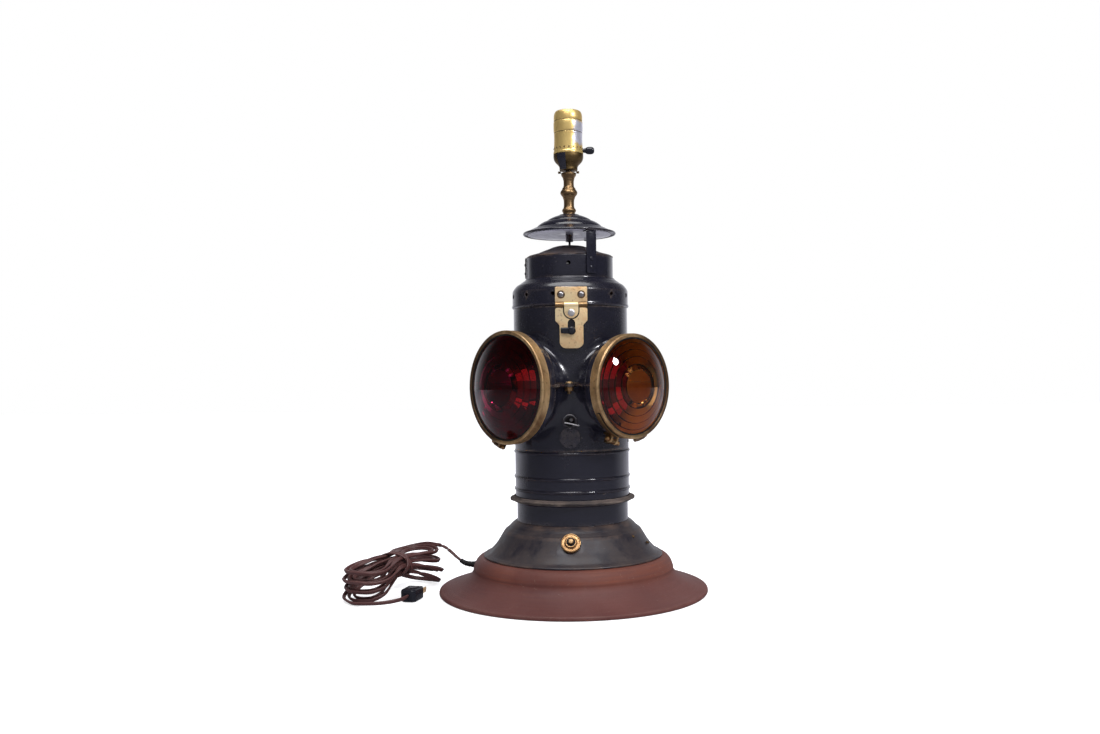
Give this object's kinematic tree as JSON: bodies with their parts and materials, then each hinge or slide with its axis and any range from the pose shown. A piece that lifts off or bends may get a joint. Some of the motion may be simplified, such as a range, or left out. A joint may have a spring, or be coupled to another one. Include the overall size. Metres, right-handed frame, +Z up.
{
  "type": "railroad switch lamp",
  "caption": "Black steel railroad switch lamp made into a table lamp, with hinged lens doors, chimney lid, brass socket on a turned neck, wooden base and a hank of cord.",
  "frame": {"origin": "on the floor under the middle of the wooden base, on the lamp's axis", "axes": "+Z up along the lamp's axis, -Y towards the viewer of the picture (hasp, peephole and switch), +X to the viewer's right"},
  "size_m": [0.4501, 0.338, 0.606],
  "materials": {
    "black_japan": "glossy black japanned steel, scuffed",
    "dusty_japan": "dusty, worn black japanned steel",
    "pale_metal": "dull pale grey",
    "aged_brass": "aged, brown tarnish",
    "hasp_brass": "pale, tarnished",
    "bright_brass": "bright, lacquered",
    "copper_brass": "reddish, tarnished",
    "steel": "dull",
    "mahogany": "matte, dusty, turned",
    "ruby_glass": "deep ruby",
    "amber_glass": "amber red",
    "clear_glass": "clear",
    "phenolic": "black moulded",
    "cord": "brown, satin"
  },
  "bodies": {
    "lamp_body": {"wood_base": "mahogany", "base_dome": "dusty_japan", "lower_case": "black_japan", "drip_ring": "dusty_japan", "lens_body_lower": "black_japan", "lens_body_upper": "black_japan", "seam_bolt_front": "steel", "seam_nut_front": "steel", "seam_bolt_rear": "steel", "seam_nut_rear": "steel", "lens_bracket_front_left": "copper_brass", "lens_bracket_front_right": "copper_brass", "lens_bracket_rear_right": "copper_brass", "lens_bracket_rear_left": "copper_brass", "body_hinge_leaf": "black_japan", "switch_body": "phenolic", "switch_nut": "copper_brass", "cord_bushing": "phenolic", "cord_stretch": "cord", "cord_hank": "cord", "plug": "phenolic", "inner_lampholder": "phenolic", "inner_bulb": "clear_glass"},
    "door_front_left": {"door_ring_front_left": "aged_brass", "lens_front_left": "ruby_glass", "lens_pin_front_left": "copper_brass"},
    "door_front_right": {"door_ring_front_right": "aged_brass", "lens_front_right": "amber_glass", "lens_pin_front_right": "copper_brass"},
    "door_rear_right": {"door_ring_rear_right": "aged_brass", "lens_rear_right": "ruby_glass", "lens_pin_rear_right": "copper_brass"},
    "door_rear_left": {"door_ring_rear_left": "aged_brass", "lens_rear_left": "amber_glass", "lens_pin_rear_left": "copper_brass"},
    "lid": {"lid_shell": "black_japan", "lid_hinge_leaf": "black_japan", "lid_hinge_pin": "steel", "chimney_drum": "black_japan", "drum_roof": "black_japan", "cap_strap_right": "black_japan", "cap_strap_rear": "black_japan", "smoke_cap": "black_japan", "cap_baffle": "pale_metal", "cap_nut": "steel", "threaded_pipe": "steel", "socket_wire": "phenolic", "neck": "copper_brass", "saddle_washer": "aged_brass", "socket_cap": "aged_brass", "socket_shell": "bright_brass", "socket_core": "phenolic", "screw_shell": "bright_brass", "hasp_plate": "hasp_brass", "hasp_pin": "aged_brass"},
    "hasp": {"hasp_leaf": "hasp_brass"},
    "turn_catch": {"turn_catch": "phenolic"},
    "socket_key": {"socket_key": "phenolic"},
    "switch_button": {"switch_button": "copper_brass"},
    "peep_cover": {"peep_cover": "black_japan"}
  },
  "joints": [
    {"name": "door_front_left_hinge", "type": "hinge", "parent": "lamp_body", "child": "door_front_left", "pos_m": [-0.08839, -0.04879, 0.18869], "axis": [0.6556, -0.6556, -0.3746], "range_deg": [0, 100]},
    {"name": "door_front_right_hinge", "type": "hinge", "parent": "lamp_body", "child": "door_front_right", "pos_m": [0.05025, -0.08693, 0.19379], "axis": [0.6556, 0.6556, -0.3746], "range_deg": [0, 100]},
    {"name": "door_rear_right_hinge", "type": "hinge", "parent": "lamp_body", "child": "door_rear_right", "pos_m": [0.08839, 0.04879, 0.18869], "axis": [-0.6556, 0.6556, -0.3746], "range_deg": [0, 100]},
    {"name": "door_rear_left_hinge", "type": "hinge", "parent": "lamp_body", "child": "door_rear_left", "pos_m": [-0.05025, 0.08693, 0.19379], "axis": [-0.6556, -0.6556, -0.3746], "range_deg": [0, 100]},
    {"name": "lid_hinge", "type": "hinge", "parent": "lamp_body", "child": "lid", "pos_m": [0, 0.0764, 0.3558], "axis": [-1, 0, 0], "range_deg": [0, 100]},
    {"name": "hasp_hinge", "type": "hinge", "parent": "lid", "child": "hasp", "pos_m": [0.00333, -0.07623, 0.3561], "axis": [-0.999, -0.0436, 0], "range_deg": [0, 150]},
    {"name": "catch_turn", "type": "hinge", "parent": "hasp", "child": "turn_catch", "pos_m": [0.0033, -0.07548, 0.3252], "axis": [-0.0436, 0.999, 0], "range_deg": [0, 90]},
    {"name": "key_turn", "type": "hinge", "parent": "lid", "child": "socket_key", "pos_m": [0.021, 0, 0.5562], "axis": [1, 0, 0], "continuous": true},
    {"name": "button_push", "type": "slide", "parent": "lamp_body", "child": "switch_button", "axis": [0, 0.8607, -0.5091], "range_m": [0, 0.0025], "stiffness_N_per_m": 300, "springref_m": -0.002},
    {"name": "peep_swing", "type": "hinge", "parent": "lamp_body", "child": "peep_cover", "pos_m": [0, -0.0743, 0.2065], "axis": [0, -1, 0], "range_deg": [0, 180]}
  ]
}
